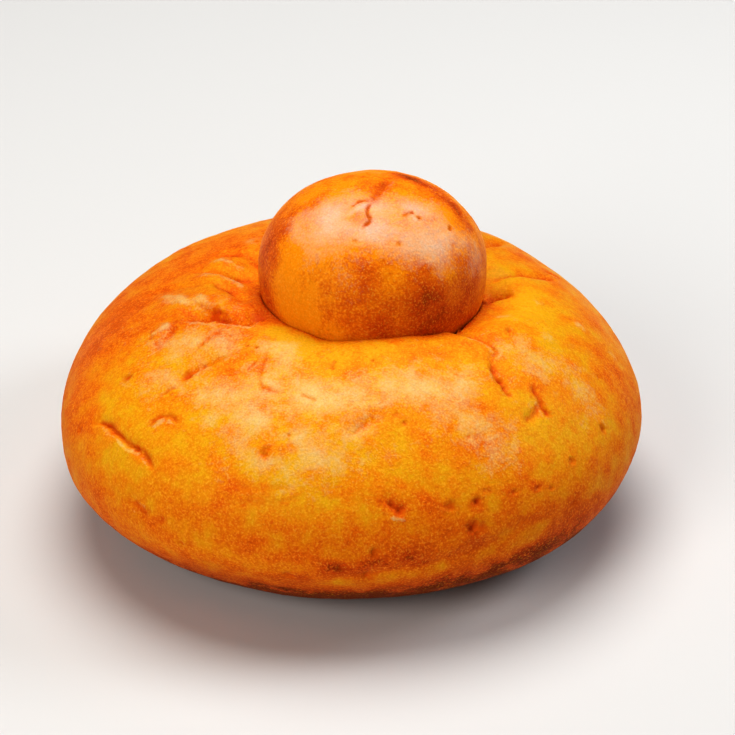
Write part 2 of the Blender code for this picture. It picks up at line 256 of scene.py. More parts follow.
# The ball's pale patches are painted sheen on its top; the short row at its right is a painted
# reflection of the cool lamp.
BALL_PAINTED_SHEEN = (
    (((324, 221), (350, 224), (400, 227), (425, 234)), 6, 0.8),
    (((345, 205), (380, 208), (425, 212)), 4, 0.65), (((444, 236), (448, 246)), 1.1, 0.6),
    (((440, 258), (468, 250)), 4.5, 0.42), (((365, 242), (390, 245), (415, 246)), 4, 0.24),
    (((335, 255), (350, 285)), 3, 0.22), (((365, 205), (352, 215)), 1.2, 1),
)
BALL_VALLEYS = (
    (((389, 176), (381, 186), (374, 196), (370, 206)), 1.3, 1.3, 0.4),
)
BALL_CRACKS = (
    (((388, 177), (380, 187), (375, 195), (371, 202)), 0.5, 0.3, 0.05, 0.45),
    (((372, 201), (368, 208), (367, 214), (370, 220), (365, 226), (360, 230)), 0.22, 0.4, 0.05, 1),
    (((370, 201), (364, 200), (357, 202), (350, 209)), 0.2, 0.3, 0, 0.7),
    (((403, 217), (406, 213), (411, 212), (415, 214)), 0.2, 0.3, 0.05, 0.9),
    (((449, 224), (450, 231)), 0.28, 0.3, 0.05, 1),
)
BALL_PITS = (
    (418, 217, 0.35, 0.3, 0.1, 0.8), (329, 191, 0.3, 0.1, 0, 0.3), (314, 205, 1, 0.1, 0, 0.15),
    (404, 186, 0.4, 0.2, 0.05, 0.4), (420, 190, 0.4, 0.2, 0.05, 0.4), (355, 240, 0.3, 0.1, 0, 0.4),
    (399, 244, 0.3, 0.1, 0, 0.4), (384, 262, 0.3, 0.1, 0, 0.3),
)
# The ball's ridges, their paleness a painted highlight; the second lies on the painted reflection
# of the cool lamp at the ball's right.
BALL_RIDGES = (
    (((411, 217), (418, 221)), 0.6, 0.12, 0.9), (((440, 235), (448, 246)), 1.2, 0.08, 0.4),
    (((362, 212), (361, 222)), 0.7, 0.12, 0.5),
)
# The row up the ball's left edge, from (267, 290) to (273, 234), is painted shade.
BALL_STAINS = (
    (((406, 176), (422, 182), (436, 190), (449, 202), (459, 213), (466, 224)), 1.8, 0.42),
    (((389, 176), (404, 176), (420, 184)), 1.8, 0.14),
    (((389, 178), (381, 188), (373, 200)), 1, 0.18), (((400, 190), (425, 196)), 2.6, 0.08),
    (((330, 285), (370, 290), (352, 280)), 3, 0.1),
    (((418, 268), (430, 282), (426, 312)), 2.6, 0.12), (((388, 296), (410, 302)), 4, 0.12),
    (((470, 262), (478, 274)), 2.2, 0.09), (((436, 302), (458, 306), (472, 288)), 5, 0.3),
    (((370, 325), (410, 328), (440, 320)), 4.5, 0.2),
    (((278, 285), (290, 310), (310, 330)), 4.5, -0.38),
    (((267, 290), (268, 262), (273, 234)), 4.2, 0.46), (((300, 250), (318, 240)), 4, -0.16),
)
MARK_KINDS = ("valleys", "cracks", "pits", "ridges", "stains", "bloom_and_sheen")
BUN_MARKS = (BUN_VALLEYS, BUN_CRACKS, BUN_PITS, BUN_RIDGES, BUN_STAINS, BUN_BLOOM_AND_SHEEN)
BALL_MARKS = (BALL_VALLEYS, BALL_CRACKS, BALL_PITS, BALL_RIDGES, BALL_STAINS, BALL_PAINTED_SHEEN)

# --- Marks of the side that the photograph doesn't show ---
# Folds gathered round the back of the ball:
# (azimuth in, azimuth out, radius in, radius out, half width, depth), from the ball's axis.
BACK_FOLDS = (
    (164, 167, 21, 32, 1.6, 0.4), (146, 152, 19, 34, 1.5, 0.5),
    (127, 122, 18, 32, 1.4, 1), (101, 110, 17, 40, 2, 1.8),
    (72, 66, 18, 33, 1.6, 1), (38, 47, 17, 38, 1.8, 1.5),
    (15, 19, 21, 37, 1.4, 0.6),
)
FOLD_PLACES = 9
FOLD_RAY_START = 0.2
FOLD_FAR_WIDTH = 1.2
FOLD_NEAR_WIDTH = 0.8
# The crack along a fold: (half width, depth, lip, darkening), the darkening being painted shade.
FOLD_CRACK = (0.4, 0.25, 0.0, 0.45)
# Small marks by chance: a seed, then how many of each kind with their sizes or ranges of sizes.
# Cracks: half width, depth, lip, darkening. Pits: radius, rim, darkening. The darkening is painted
# shade inside them.
# Stains: half width, browning.
BUN_CHANCE = (
    11,
    (26, ((0.26, 0.42), (0.2, 0.45), 0.1, (0.4, 0.7))),
    (46, ((0.3, 0.9), 0.05, (0.4, 0.7))),
    (24, ((3, 8), (-0.14, 0.16))),
)
BALL_CHANCE = (
    5,
    (7, ((0.26, 0.4), (0.2, 0.4), 0.05, (0.4, 0.7))),
    (12, ((0.35, 0.7), 0.1, (0.4, 0.6))),
    (8, ((2.5, 5), (-0.1, 0.2))),
)
CHANCE_PIT_DEPTH = 0.6
# The unseen side: behind the first (for the ball from its middle) and above the second.
BUN_BACK, BUN_BACK_FLOOR = 12.0 * MM, 3.0 * MM
BALL_BACK, BALL_BACK_FLOOR = 4.0 * MM, 46.0 * MM
# How the short routes wander: first slope, number of steps, turn at each and lengths in mm.
FIRST_STEEPEST = 0.6
STEP_COUNTS = (2, 5)
STEP_TURN = 0.7
STEP_LENGTHS = (0.8, 1.8)

# --- Unevenness all over ---
# Heights from where the crust is rough (start, run), lumps (rise, size, seed) in mm,
# rise of the fine ripple in mm, and uneven browning (browning, size in mm, seed).
BUN_UNEVEN = ((0, 4.0 * MM), ((0.14, 11, 1), (0.045, 3.2, 2)), 0.025, (0.05, 12, 8))
BALL_UNEVEN = (
    (44.0 * MM, 6.0 * MM), ((0.12, 7, 21), (0.035, 2.2, 22)), 0.018, (0.05, 9, 23),
)
# Painted shade: the dough is browner along its seam with the ball, where the two meet. The width is
# a share of the ball's size.
SEAM_SHADE = 0.25
SEAM_WIDTH = 0.12


# --- Curves and waves ---
NEAR_ZERO = 1e-9


def bell(offset, half_width):
    """1 at no offset, falling smoothly to nothing a few half widths away."""
    return np.exp(-((offset / half_width) ** 2))


def ease(share):
    """A smooth step from 0 to 1 as the share goes from 0 to 1."""
    share = np.clip(share, 0.0, 1.0)
    return share * share * (3.0 - 2.0 * share)


def above(value, start, run):
    """0 up to the start, easing to 1 over the run past it."""
    return ease((value - start) / run)


def below(value, start, run):
    """0 down to the start, easing to 1 over the run below it."""
    return ease((start - value) / run)


def tapered(share, run):
    """1 along the middle of a mark, easing to 0 over the given share of it at each end."""
    return ease(np.minimum(share, 1.0 - share) / run)


def angle_between(azimuth, other):
    """Signed turn in degrees from the other azimuth, between -180 and 180."""
    return (azimuth - other + 180.0) % 360.0 - 180.0


def waves(azimuth, table):
    """Sum of waves around the bun: each row gives how many, how much and where one peaks."""
    return sum(size * np.cos(np.radians(count * (azimuth - peak))) for count, size, peak in table)


# --- Objects, and mesh places as arrays ---
LUMP_SCALE = 1.6
SEED_STEPS = (7.31, 3.17, 5.71)
WARP_SEED = 1


def new_object(name, data):
    item = bpy.data.objects.new(name, data)
    bpy.context.scene.collection.objects.link(item)
    return item


def mesh_data(name, mesh):
    data = bpy.data.meshes.new(name)
    mesh.to_mesh(data)
    return data


def array_of(items, key):
    """Three numbers per item, as rows."""
    numbers = np.empty(len(items) * 3)
    items.foreach_get(key, numbers)
    return numbers.reshape(-1, 3)


def places_of(data):
    return array_of(data.vertices, "co")


def move_to(data, places):
    data.vertices.foreach_set("co", places.ravel())
    data.update()


def store(data, name, values):
    """Keep one number per point for the material to read."""
    layer = data.attributes.new(name, "FLOAT", "POINT")
    layer.data.foreach_set("value", values.astype(np.float32))


def lumps(places, size, seed):
    """Smooth unevenness between about -1 and 1, with lumps of the given size."""
    shift = Vector([seed * step for step in SEED_STEPS])
    return np.array([noise.noise(Vector(place) + shift) for place in places / size]) * LUMP_SCALE


def warp(places, size):
    """Small smooth shifts in every direction, changing over the given size."""
    noise.seed_set(WARP_SEED)
    return np.array([tuple(noise.noise_vector(Vector(place))) for place in places / size])


# --- The bun's form ---
def bun_section():
    """Radius and height along the half-section, from the base's centre to the crown's."""
    points = [(BASE_RADIUS * step / BASE_STEPS, 0.0) for step in range(BASE_STEPS)]
    upright, level = BELLY_HANDLES
    corners = [Vector(corner) for corner in ((1, 0), (1, upright), (level, 1), (0, 1))]
    for across, up in reversed(interpolate_bezier(*corners, BELLY_STEPS + 1)):
        radius = BASE_RADIUS + (BUN_RADIUS - BASE_RADIUS) * across
        points.append((radius, WIDEST_HEIGHT * (1.0 - up)))
    dome_turn = math.acos(CROWN_RADIUS / BUN_RADIUS)
    dome = [BUN_RADIUS * math.cos(dome_turn * step / DOME_STEPS) for step in range(1, DOME_STEPS)]
    crown_step = (CROWN_RADIUS - CROWN_FLOOR_RADIUS) / CROWN_STEPS
    crown = [CROWN_RADIUS - crown_step * step for step in range(CROWN_STEPS)]
    floor = [CROWN_FLOOR_RADIUS * (1.0 - step / FLOOR_STEPS) for step in range(FLOOR_STEPS + 1)]
    for radius in dome + crown + floor:
        rise = DOME_HEIGHT * math.sqrt(1.0 - (radius / BUN_RADIUS) ** 2)
        points.append((radius, WIDEST_HEIGHT + rise))
    return points


def turned_bun():
    """The half-section turned about the Z axis into a closed mesh."""
    mesh = bmesh.new()
    chain = [mesh.verts.new((radius, 0.0, height)) for radius, height in bun_section()]
    edges = [mesh.edges.new(pair) for pair in zip(chain, chain[1:])]
    bmesh.ops.spin(
        mesh, geom=chain + edges, cent=(0, 0, 0), axis=(0, 0, 1),
        angle=math.tau, steps=BUN_STEPS_AROUND, use_merge=True,
    )
    bmesh.ops.remove_doubles(mesh, verts=mesh.verts, dist=MERGE_DISTANCE)
    bmesh.ops.recalc_face_normals(mesh, faces=mesh.faces)
    return mesh


def dough_form(turned):
    """Where each point of the turned section goes: uneven outline, wavy crown, dimple and seat."""
    radius = np.hypot(turned[:, 0], turned[:, 1])
    height = turned[:, 2]
    azimuth = np.degrees(np.arctan2(turned[:, 1], turned[:, 0]))
    upper = height > WIDEST_HEIGHT
    belly = np.where(upper, 0.0, np.sin(np.pi * (1.0 - height / WIDEST_HEIGHT)) ** 2)
    inward = (1.0 - radius / BUN_RADIUS) / (1.0 - DIMPLE_RADIUS / BUN_RADIUS)
    crown = np.where(upper, ease(inward), 0.0)
    added = sum(
        size * bell(angle_between(azimuth, middle), half) for middle, half, size in DIMPLE_POCKETS
    )
    slope = (radius - DIMPLE_FLOOR_RADIUS) / (DIMPLE_RADIUS + added - DIMPLE_FLOOR_RADIUS)
    rise = crown * waves(azimuth, CREST_WAVES) - DIMPLE_DEPTH * (1.0 - ease(slope))
    for middle, half, ring, reach, size in LIP_RISES:
        ring_bell = bell(radius - ring * MM, reach * MM)
        rise += size * MM * bell(angle_between(azimuth, middle), half) * ring_bell
    height = np.where(upper, height + rise, height)
    radius = radius * (1.0 + belly * waves(azimuth, BELLY_WAVES))
    radius = radius * (1.0 + (1.0 - crown) * waves(azimuth, OUTLINE_WAVES))
    turn = np.radians(azimuth)
    across = radius * np.cos(turn) + BALL_CENTRE.x * crown
    along = radius * np.sin(turn) + BALL_CENTRE.y * crown
    return seated(np.column_stack((across, along, height)), HUG)


def ball_depth(spokes):
    """How far out a place is from the ball's middle, 1 on its surface. The lower half is fuller."""
    across = np.hypot(spokes[:, 0], spokes[:, 1]) / BALL_RADIUS
    up = np.abs(spokes[:, 2]) / BALL_HALF_HEIGHT
    power = np.where(spokes[:, 2] < 0.0, BALL_FULLNESS, 2.0)
    return np.maximum((across ** power + up ** power) ** (1.0 / power), LEAST_DEPTH)


def seated(places, hug):
    """The dough round the ball: drawn in to hug it, and never nearer to it than the gap."""
    spokes = places - np.array(BALL_CENTRE)
    length = np.maximum(np.linalg.norm(spokes, axis=1), NEAR_ZERO)
    clearance = length * (1.0 - 1.0 / ball_depth(spokes))
    wanted = np.maximum(clearance - hug * bell(clearance, HUG_REACH), SEAT_GAP)
    return places + spokes / length[:, None] * (wanted - clearance)[:, None]


# --- The photograph's view: pixels to places ---
def make_camera():
    camera = new_object("camera", bpy.data.cameras.new("camera"))
    camera.data.lens = LENS
    camera.data.sensor_width = SENSOR_WIDTH
    camera.data.clip_start, camera.data.clip_end = CAMERA_CLIP
    away = Vector((0.0, -math.cos(CAMERA_ELEVATION), math.sin(CAMERA_ELEVATION)))
    camera.location = CAMERA_AIM + CAMERA_DISTANCE * away
    camera.rotation_euler = (math.pi / 2 - CAMERA_ELEVATION, 0.0, 0.0)
    bpy.context.scene.camera = camera
    return camera


def surface_tree(data, places):
    """The surface with its points at the given places, for rays and nearest places."""
    return BVHTree.FromPolygons(places.tolist(), [tuple(face.vertices) for face in data.polygons])


def seen_place(tree, camera, x, y):
    """The place on the surface that shows at a pixel of the photograph's view."""
    reach = SENSOR_WIDTH / LENS / FRAME_PIXELS
    middle = FRAME_PIXELS / 2
    ray = Vector(((x - middle) * reach, (middle - y) * reach, -1.0))
    ray.rotate(camera.rotation_euler)
    return tree.ray_cast(camera.location, ray.normalized())[0]


def rounded_route(route):
    """The route with its corners cut, where it has any."""
    for _ in range(CORNER_CUTS if len(route) > 2 else 0):
        rounded = [route[0]]
        for start, end in zip(route, route[1:]):
            for share in (CORNER_CUT, 1.0 - CORNER_CUT):
                rounded.append(tuple((1.0 - share) * a + share * b for a, b in zip(start, end)))
        route = rounded + [route[-1]]
    return route


def route_on(tree, camera, route):
    """A pixel route laid on the surface."""
    hits = [seen_place(tree, camera, x, y) for x, y in rounded_route(route)]
    return np.array([hit for hit in hits if hit is not None])


def marks_on(tree, camera, tables):
    """The rows of each kind of mark, with the pixel routes laid on the surface."""
    marks = {}
    for kind, rows in zip(MARK_KINDS, tables):
        if kind == "pits":
            rows = [(((x, y),), *sizes) for x, y, *sizes in rows]
        marks[kind] = [(route_on(tree, camera, route), *sizes) for route, *sizes in rows]
    return marks


def from_route(places, route, reach):
    """For the places within reach of a route: their numbers, distance, side and share along it."""
    low = route.min(axis=0) - reach
    high = route.max(axis=0) + reach
    near = np.nonzero(np.all((places > low) & (places < high), axis=1))[0]
    spot = places[near]
    distance = np.linalg.norm(spot - route[0], axis=1)
    side = spot[:, 1] - route[0, 1]
    share = np.full(len(near), 0.5)
    if len(route) > 1:
        lengths = np.linalg.norm(np.diff(route, axis=0), axis=1)
        total = lengths.sum()
        walked = 0.0
        distance = np.full(len(near), np.inf)
        for start, end, length in zip(route, route[1:], lengths):
            run = (end - start) / max(length, NEAR_ZERO)
            along = np.clip((spot - start) @ run, 0.0, length)
            offset = spot - (start + along[:, None] * run)
            gap = np.linalg.norm(offset, axis=1)
            closer = gap < distance
            distance = np.where(closer, gap, distance)
            side = np.where(closer, offset[:, 1], side)
            share = np.where(closer, (walked + along) / total, share)
            walked += length
    return near, distance, np.sign(side), share


# --- How marks are pressed into the crust ---
# Shifts that make the marks' routes wander: (shift, size of its lumps).
ROUTE_WANDER = ((0.42 * MM, 2.6 * MM), (0.08 * MM, 0.8 * MM))
# Unevenness of the marks' edges and strength: (size of its lumps, seed).
RIPPLE = (0.9 * MM, 3)
WOBBLE = (2.4 * MM, 5)
PATCHES = (5.0 * MM, 6)
EDGE_RIPPLE = 0.35
EDGE_WOBBLE = 0.25
LEAST_STRENGTH = 0.3
# Reaches, places and slopes are counted in half widths of the mark, and tapers in its length.
# The widenings and depths multiply the tables' numbers.
VALLEY_REACH = 3.0
VALLEY_TAPER = 0.25
VALLEY_WOBBLE = 0.15
# Painted shade: how much browner a valley's floor is, and over how many half widths.
VALLEY_SHADE = 0.12
VALLEY_SHADE_WIDTH = 0.5
CRACK_WIDENING = 1.35
CRACK_DEPTH = 0.7
CRACK_REACH = 8.0
CRACK_TAPER = 0.22
CRACK_END_WIDTH = 0.5
CRACK_WOBBLE = 0.4
CRACK_MOST = 1.6
# Painted shade in and beside a crack: how dark, how much browner, and over how many half widths.
CRACK_DARKENING = 0.8
CRACK_SHADE = 0.16
CRACK_SHADE_WIDTH = 2.6
LIP_PLACE = 1.8
LIP_SLOPE = 2.8
# The lip's paleness is a painted highlight on its lit edge.
LIP_PALENESS = 5.0
LIP_PALE_PLACE = 1.9
LIP_PALE_WIDTH = 0.9
LIP_PALEST = 0.65
# Under a lip higher than this, in mm, the painted shade line moves away from it.
HIGH_LIP = 0.08
LINE_SHIFT = 0.3
PIT_REACH = 4.0
PIT_WIDENING = 1.25
PIT_DEPTH = 0.8
PIT_FLOOR = 0.8
# How far the painted shade inside a pit spreads.
PIT_DARK = 0.95
RIM_PLACE = 1.5
RIM_WIDTH = 0.6
RIM_PALE_PLACE = 1.6
RIM_PALE_WIDTH = 0.5
# A rim this high, in mm, carries the full painted highlight.
RIM_HIGH = 0.35
RIM_PALENESS = 0.7
RIM_PALEST = 0.6
RIDGE_REACH = 4.0
RIDGE_TAPER = 0.3
STAIN_REACH = 3.5
STAIN_WIDENING = 1.2
STAIN_MOST = 1.7
# Stains narrower than this, in mm, are more uneven.
SMALL_STAIN = 3.0
SMALL_WOBBLE = 0.5
STAIN_WOBBLE = 0.12
# How the patches of pale dust and painted sheen spread and vary.
BLOOM_AND_SHEEN_REACH = 3.0
BLOOM_AND_SHEEN_WIDENING = 1.1
BLOOM_AND_SHEEN_MEAN = 0.85
BLOOM_AND_SHEEN_PATCHINESS = 0.35
BLOOM_AND_SHEEN_MOST = 1.25
# How much of the pale dust and painted highlight a place loses under painted shade.
PALE_LOSS_IN_SHADE = 1.6


class Crust:
    """A piece's surface while its marks are pressed in and its colours are laid on."""

    def __init__(self, data, base_brown, base_pale):
        self.data = data
        self.places = places_of(data)
        self.normals = array_of(data.vertex_normals, "vector")
        self.rise, self.dark, self.pale = np.zeros((3, len(self.places)))
        self.brown = base_brown(self.places)
        self.base_pale = base_pale(self.places)
        self.warped = self.places.copy()
        for shift, size in ROUTE_WANDER:
            self.warped += shift * warp(self.places, size)
        self.ripple = lumps(self.places, *RIPPLE)
        self.wobble = lumps(self.places, *WOBBLE)
        self.patches = lumps(self.places, *PATCHES)

    def rough_distance(self, near, distance, half_width):
        """The distance made uneven, so that edges of marks wander."""
        unevenness = EDGE_RIPPLE * self.ripple[near] + EDGE_WOBBLE * self.wobble[near]
        return distance + half_width * unevenness

    def strength(self, near, wobble, most):
        """Around 1, more in some places and less in others."""
        return np.clip(1.0 + wobble * self.wobble[near], LEAST_STRENGTH, most)

    def darken(self, near, wanted):
        self.dark[near] = np.maximum(self.dark[near], wanted)

    def whiten(self, near, wanted):
        self.pale[near] = np.maximum(self.pale[near], wanted)

    def valley(self, route, far_width, near_width, depth):
        """A broad fold, with a slope of its own on each side and painted shade browning its floor.
        """
        reach = VALLEY_REACH * max(far_width, near_width) * MM
        near, distance, side, share = from_route(self.warped, route, reach)
        width = np.where(side > 0, far_width, near_width) * MM
        taper = tapered(share, VALLEY_TAPER)
        uneven = 1.0 + VALLEY_WOBBLE * self.wobble[near]
        self.rise[near] -= depth * MM * taper * uneven * bell(distance, width)
        # Painted shade along the valley's floor.
        self.brown[near] += VALLEY_SHADE * taper * bell(distance, VALLEY_SHADE_WIDTH * width)

    def crack(self, route, half_width, depth, lip, darkening):
        """A thin split in the crust with painted shade inside and beside it, and a lip on its near
        side with a painted highlight.
        """
        half_width, depth = CRACK_WIDENING * half_width, CRACK_DEPTH * depth
        near, distance, side, share = from_route(self.warped, route, CRACK_REACH * half_width * MM)
        distance = self.rough_distance(near, distance, half_width * MM)
        taper = tapered(share, CRACK_TAPER)
        width = half_width * MM * (CRACK_END_WIDTH + (1.0 - CRACK_END_WIDTH) * taper)
        uneven = self.strength(near, CRACK_WOBBLE, CRACK_MOST)
        self.rise[near] -= depth * MM * taper * uneven * bell(distance, width)
        near_side = np.where(side > 0, 0.0, lip) * taper
        slope = width * np.where(distance > LIP_PLACE * width, LIP_SLOPE, 1.0)
        self.rise[near] += near_side * bell(distance - LIP_PLACE * width, slope) * MM
        # Painted shade along the crack, browner painted shade beside it, then the lip's painted
        # highlight.
        offset = side * distance - LINE_SHIFT * width if lip > HIGH_LIP else distance
        self.darken(near, CRACK_DARKENING * darkening * taper * uneven * bell(offset, width))
        browned = bell(distance, CRACK_SHADE_WIDTH * width)
        self.brown[near] += CRACK_SHADE * darkening * taper * browned
        edge = bell(distance - LIP_PALE_PLACE * width, LIP_PALE_WIDTH * width)
        self.whiten(near, np.minimum(LIP_PALENESS * near_side * edge, LIP_PALEST))

    def pit(self, place, radius, depth, rim, darkening):
        """A small round hole with painted shade inside, and a rim with a painted highlight on its
        near side.
        """
        near, distance, side, _ = from_route(self.warped, place, PIT_REACH * radius * MM)
        distance = self.rough_distance(near, distance, radius * MM)
        reach = PIT_WIDENING * radius * MM
        self.rise[near] -= PIT_DEPTH * depth * MM * bell(distance, PIT_FLOOR * reach)
        self.rise[near] += rim * MM * bell(distance - RIM_PLACE * reach, RIM_WIDTH * reach)
        # Painted shade inside the pit, then the painted highlight on the rim's near side.
        self.darken(near, darkening * bell(distance, PIT_DARK * reach))
        edge = bell(distance - RIM_PALE_PLACE * reach, RIM_PALE_WIDTH * reach) * (side < 0)
        self.whiten(near, np.minimum(RIM_PALENESS * (rim / RIM_HIGH * edge), RIM_PALEST))

    def ridge(self, route, half_width, height, paleness):
        """A raised fold or blister, with a painted highlight on top."""
        near, distance, _, share = from_route(self.warped, route, RIDGE_REACH * half_width * MM)
        distance = self.rough_distance(near, distance, half_width * MM)
        taper = tapered(share, RIDGE_TAPER) if len(route) > 1 else 1.0
        shape = taper * bell(distance, half_width * MM)
        self.rise[near] += height * MM * shape
        # The painted highlight on the ridge's top.
        self.whiten(near, paleness * shape)

    def stain(self, route, half_width, browning):
        """A browner or yellower patch."""
        near, distance, _, _ = from_route(self.warped, route, STAIN_REACH * half_width * MM)
        wobble = SMALL_WOBBLE if half_width < SMALL_STAIN else STAIN_WOBBLE
        laid = browning * self.strength(near, wobble, STAIN_MOST)
        self.brown[near] += laid * bell(distance, STAIN_WIDENING * half_width * MM)

    def bloom_and_sheen(self, route, half_width, paleness):
        """A patch of dull pale dust and painted sheen."""
        near, distance, _, _ = from_route(self.warped, route, BLOOM_AND_SHEEN_REACH * half_width * MM)
        patchy = BLOOM_AND_SHEEN_MEAN + BLOOM_AND_SHEEN_PATCHINESS * self.patches[near]
        laid = paleness * np.clip(patchy, LEAST_STRENGTH, BLOOM_AND_SHEEN_MOST)
        self.whiten(near, laid * bell(distance, BLOOM_AND_SHEEN_WIDENING * half_width * MM))

    def press(self, marks):
        """All the marks, kind by kind."""
        ways = (self.valley, self.crack, self.pit, self.ridge, self.stain, self.bloom_and_sheen)
        for kind, press_one in zip(MARK_KINDS, ways):
            for row in marks.get(kind, ()):
                press_one(*row)

    def roughen(self, places, rough, relief, ripple, tone):
        """Lumps and a fine ripple above the rough heights, and uneven browning all over."""
        share = above(places[:, 2], *rough)
        for rise, size, seed in relief:
            self.rise += share * rise * MM * lumps(places, size * MM, seed)
        self.rise += share * ripple * MM * self.ripple
        browning, size, seed = tone
        self.brown += browning * lumps(places, size * MM, seed)

    def finish(self):
        """Move the points out or in by the marks, and keep the colours' values on them."""
        move_to(self.data, self.places + self.normals * self.rise[:, None])
        store(self.data, "brown", self.brown)
        store(self.data, "dark", np.clip(self.dark, 0.0, 1.0))
        pale = np.clip(self.pale, 0.0, 1.0) * (1.0 - np.clip(PALE_LOSS_IN_SHADE * self.dark, 0.0, 1.0))
        store(self.data, "pale", pale + (1.0 - pale) * self.base_pale)


def refine(mesh, places, routes):
    """Split the edges near the given routes: (route, reach)."""
    close = np.zeros(len(places), bool)
    for route, reach in routes:
        near, distance, _, _ = from_route(places, route, reach)
        close[near[distance < reach]] = True
    mesh.verts.ensure_lookup_table()
    edges = [edge for edge in mesh.edges if all(close[vert.index] for vert in edge.verts)]
    bmesh.ops.subdivide_edges(mesh, edges=edges, cuts=1, use_grid_fill=True)


def add_piece(name, data, material, node):
    """A visible piece that rides the root and stands for the given node."""
    data.materials.append(material)
    data.shade_smooth()
    piece = new_object(name, data)
    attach(piece, "root")
    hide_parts(node)


# --- Materials ---
GOLD = (0.75, 0.38, 0.007)
AMBER = (0.78, 0.26, 0.003)
HONEY = (0.90, 0.30, 0.003)
ORANGE = (0.75, 0.155, 0.002)
RUST = (0.61, 0.080, 0.002)
UMBER = (0.30, 0.036, 0.001)
COCOA = (0.23, 0.028, 0.001)
# Painted shade inside cracks and pits, on the bun and then on the ball:
DEEP = (0.60, 0.080, 0.001)
BALL_CRACK_SHADE = (0.42, 0.060, 0.003)
SPECK = (0.84, 0.43, 0.04)
# Pale dust with painted sheen on the bun, and painted sheen on the ball:
STRAW = (0.74, 0.56, 0.25)
PEACH = (0.74, 0.56, 0.42)
# From the least to the most brown, the brown partly baking and partly painted shade: (how brown,
# colour).
BUN_RAMP = (
    (0.08, GOLD), (0.34, AMBER), (0.56, ORANGE), (0.80, RUST), (0.96, UMBER), (1.0, COCOA),
)
BALL_RAMP = ((0.08, HONEY), (0.36, ORANGE), (0.64, RUST), (0.92, UMBER))
# Each piece's look: ramp, colour of the painted shade in its cracks and pits, colour of its pale
# dust and painted sheen, patchiness, roughness.
BUN_LOOK = (BUN_RAMP, DEEP, STRAW, 1.0, 0.40)
BALL_LOOK = (BALL_RAMP, BALL_CRACK_SHADE, PEACH, 0.50, 0.42)

# The grain's sizes: (scale, detail, twist). Each one varies about its middle.
GRAINS = {
    "broad": (75.0, 3.0, 0.8), "dust_and_sheen_patches": (330.0, 6.0, 0.6), "blotch": (270.0, 5.0, 0.0),
    "fine": (1500.0, 3.0, 0.0), "pores": (2800.0, 1.0, 0.0),
}
GRAIN_MIDDLE = 0.5
# What each grain adds to the browning and to the relief.
BROWN_GRAIN = (("broad", 0.36), ("blotch", 0.88), ("fine", 0.42), ("pores", -0.20))
RELIEF_GRAIN = (("fine", 0.20), ("pores", 0.18), ("blotch", 0.25))
# The same for the pale dust and painted sheen: a fixed part, and a part that goes by the piece's
# patchiness.
DUST_AND_SHEEN_GRAIN = (("dust_and_sheen_patches", 0.0, 1.0), ("fine", 0.2, 0.5), ("pores", 0.0, 0.3))
# Bands: (from, to, value at the start, value at the end).
GRAIN_CEILING = (0.62, 1.62, 0.72, 1.72)
SPECKS_IN_PORES = (0.52, 0.76, 0.0, 0.45)
SPECKS_ON_BROWN = (0.95, 1.5, 1.0, 0.15)
DUST_AND_SHEEN_COVER = (0.16, 0.90, 0.0, 0.88)
PORE_SHADE = (0.25, 0.75, 0.94, 1.05)
FINE_SHADE = (0.30, 0.70, 1.04, 0.96)
DARK_COVER = (0.0, 0.9, 0.0, 1.0)
ROUGH_SIDES = (-0.30, 0.10, 0.22, 0.0)
ROUGH_BLOTCHES = (0.35, 0.65)
SMOOTHER, ROUGHER = -0.05, 0.07
BUMP_STRENGTH = 0.8
BUMP_HEIGHT = 0.6 * MM
GLOSS = {
    "Specular IOR Level": 0.08,
    "Specular Tint": (1.0, 0.74, 0.42, 1.0),
    "Subsurface Weight": 0.06,
    "Subsurface Radius": (1.0, 0.35, 0.08),
    "Subsurface Scale": 1.0 * MM,
}


